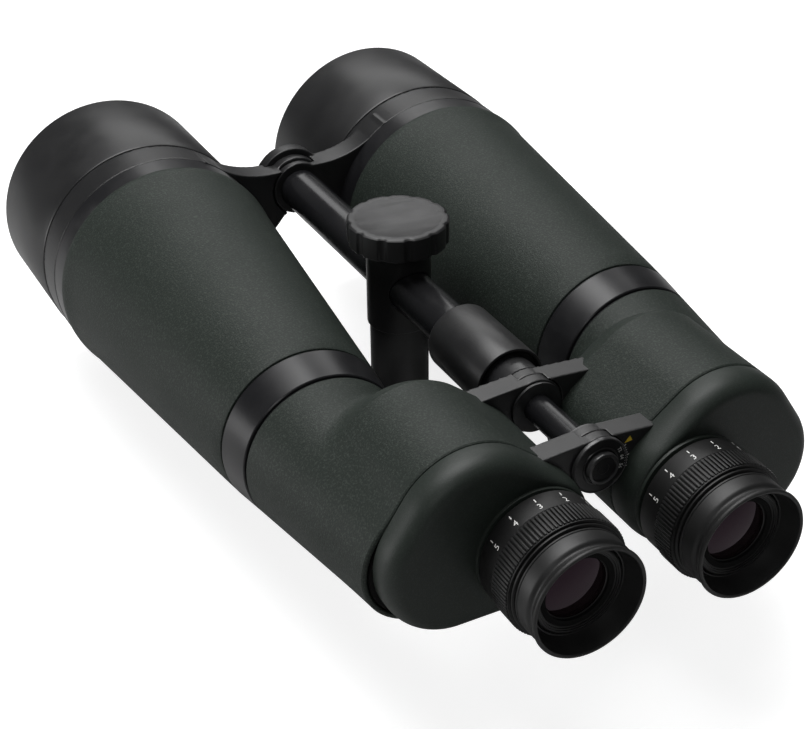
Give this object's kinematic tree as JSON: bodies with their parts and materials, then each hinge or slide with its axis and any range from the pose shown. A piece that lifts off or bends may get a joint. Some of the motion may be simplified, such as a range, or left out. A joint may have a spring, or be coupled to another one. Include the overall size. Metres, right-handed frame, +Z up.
{
  "type": "astronomy binoculars",
  "caption": "Large astronomy binoculars: armoured prism barrels folding on a centre bar, with focusing eyepieces and a sliding clamp post for a tripod.",
  "frame": {"origin": "centre of the tripod thread's mouth, on the flat foot of the clamp post", "axes": "+Y from the eyepieces towards the objectives, +X to the user's right, +Z up along the post"},
  "size_m": [0.2404, 0.375, 0.1056],
  "materials": {
    "satin_black_paint": "satin paint with a fine orange peel",
    "anodised_black": "black anodised, semi-matt",
    "gloss_black_band": "smooth semi-gloss paint",
    "green_armour": "matt green-grey rubber armour with a fine pebble grain",
    "cover_paint": "dark satin paint, slightly green",
    "black_rubber": "matt black rubber",
    "grip_rubber": "black rubber with moulded ribs",
    "knob_anodised": "satin turned face, bright chamfer",
    "bare_aluminium": "machined",
    "spring_steel": "brushed",
    "brass": "machined brass",
    "coated_glass": "optical glass with an anti-reflection coating",
    "prism_glass": "polished prism glass, ground edges"
  },
  "bodies": {
    "post": {"post_head": "satin_black_paint", "post_column": "satin_black_paint", "thread_insert": "brass"},
    "clamp_pad": {"clamp_pad": "brass"},
    "knob": {"clamp_screw": "spring_steel", "clamp_knob": "knob_anodised"},
    "bar": {"hinge_bar": "gloss_black_band", "bar_sleeve": "satin_black_paint", "hinge_washers": "spring_steel", "front_cap": "satin_black_paint", "rear_cap": "anodised_black"},
    "left_half": {"hood_left": "satin_black_paint", "yoke_left": "satin_black_paint", "objective_cell_left": "satin_black_paint", "objective_retainer_left": "anodised_black", "crown_lens_left": "coated_glass", "flint_lens_left": "coated_glass", "barrel_tube_left": "bare_aluminium", "barrel_armour_left": "green_armour", "neck_band_left": "gloss_black_band", "prism_housing_left": "satin_black_paint", "hinge_arms_left": "satin_black_paint", "housing_armour_left": "green_armour", "rear_cover_left": "cover_paint", "prism_shelf_left": "bare_aluminium", "rear_prism_left": "prism_glass", "front_prism_left": "prism_glass", "prism_clips_left": "spring_steel", "eyepiece_base_left": "anodised_black", "scale_disc": "anodised_black"},
    "left_ocular": {"ocular_cell_left": "anodised_black", "ocular_retainer_left": "anodised_black", "eye_lens_left": "coated_glass", "field_lens_left": "coated_glass"},
    "left_focus": {"focus_ring_left": "grip_rubber", "eyecup_left": "black_rubber"},
    "right_half": {"hood_right": "satin_black_paint", "yoke_right": "satin_black_paint", "objective_cell_right": "satin_black_paint", "objective_retainer_right": "anodised_black", "crown_lens_right": "coated_glass", "flint_lens_right": "coated_glass", "barrel_tube_right": "bare_aluminium", "barrel_armour_right": "green_armour", "neck_band_right": "gloss_black_band", "prism_housing_right": "satin_black_paint", "hinge_arms_right": "satin_black_paint", "housing_armour_right": "green_armour", "rear_cover_right": "cover_paint", "prism_shelf_right": "bare_aluminium", "rear_prism_right": "prism_glass", "front_prism_right": "prism_glass", "prism_clips_right": "spring_steel", "eyepiece_base_right": "anodised_black"},
    "right_ocular": {"ocular_cell_right": "anodised_black", "ocular_retainer_right": "anodised_black", "eye_lens_right": "coated_glass", "field_lens_right": "coated_glass"},
    "right_focus": {"focus_ring_right": "grip_rubber", "eyecup_right": "black_rubber"}
  },
  "joints": [
    {"name": "bar_slide", "type": "slide", "parent": "post", "child": "bar", "axis": [0, 1, 0], "range_m": [-0.055, 0.034]},
    {"name": "pad_lift", "type": "slide", "parent": "post", "child": "clamp_pad", "axis": [0, 0, 1], "range_m": [0, 0.00125]},
    {"name": "knob_turn", "type": "hinge", "parent": "clamp_pad", "child": "knob", "pos_m": [0, 0, 0.099], "axis": [0, 0, 1], "range_deg": [0, 360]},
    {"name": "left_fold", "type": "hinge", "parent": "bar", "child": "left_half", "pos_m": [0, 0, 0.0757], "axis": [0, 1, 0], "range_deg": [-14, 18]},
    {"name": "right_fold", "type": "hinge", "parent": "bar", "child": "right_half", "pos_m": [0, 0, 0.0757], "axis": [0, -1, 0], "range_deg": [-14, 18]},
    {"name": "left_focus_travel", "type": "slide", "parent": "left_half", "child": "left_ocular", "axis": [0, -1, 0], "range_m": [-0.0013, 0.0013]},
    {"name": "left_focus_turn", "type": "hinge", "parent": "left_ocular", "child": "left_focus", "pos_m": [-0.0328, -0.18, 0.06], "axis": [0, -1, 0], "range_deg": [-125, 125]},
    {"name": "right_focus_travel", "type": "slide", "parent": "right_half", "child": "right_ocular", "axis": [0, -1, 0], "range_m": [-0.0013, 0.0013]},
    {"name": "right_focus_turn", "type": "hinge", "parent": "right_ocular", "child": "right_focus", "pos_m": [0.0328, -0.18, 0.06], "axis": [0, -1, 0], "range_deg": [-125, 125]}
  ],
  "couplings": [
    {"joint": "knob_turn", "follows": "pad_lift", "rad_per_m": 5026.5},
    {"joint": "left_focus_turn", "follows": "left_focus_travel", "rad_per_m": 1678},
    {"joint": "right_focus_turn", "follows": "right_focus_travel", "rad_per_m": 1678}
  ]
}
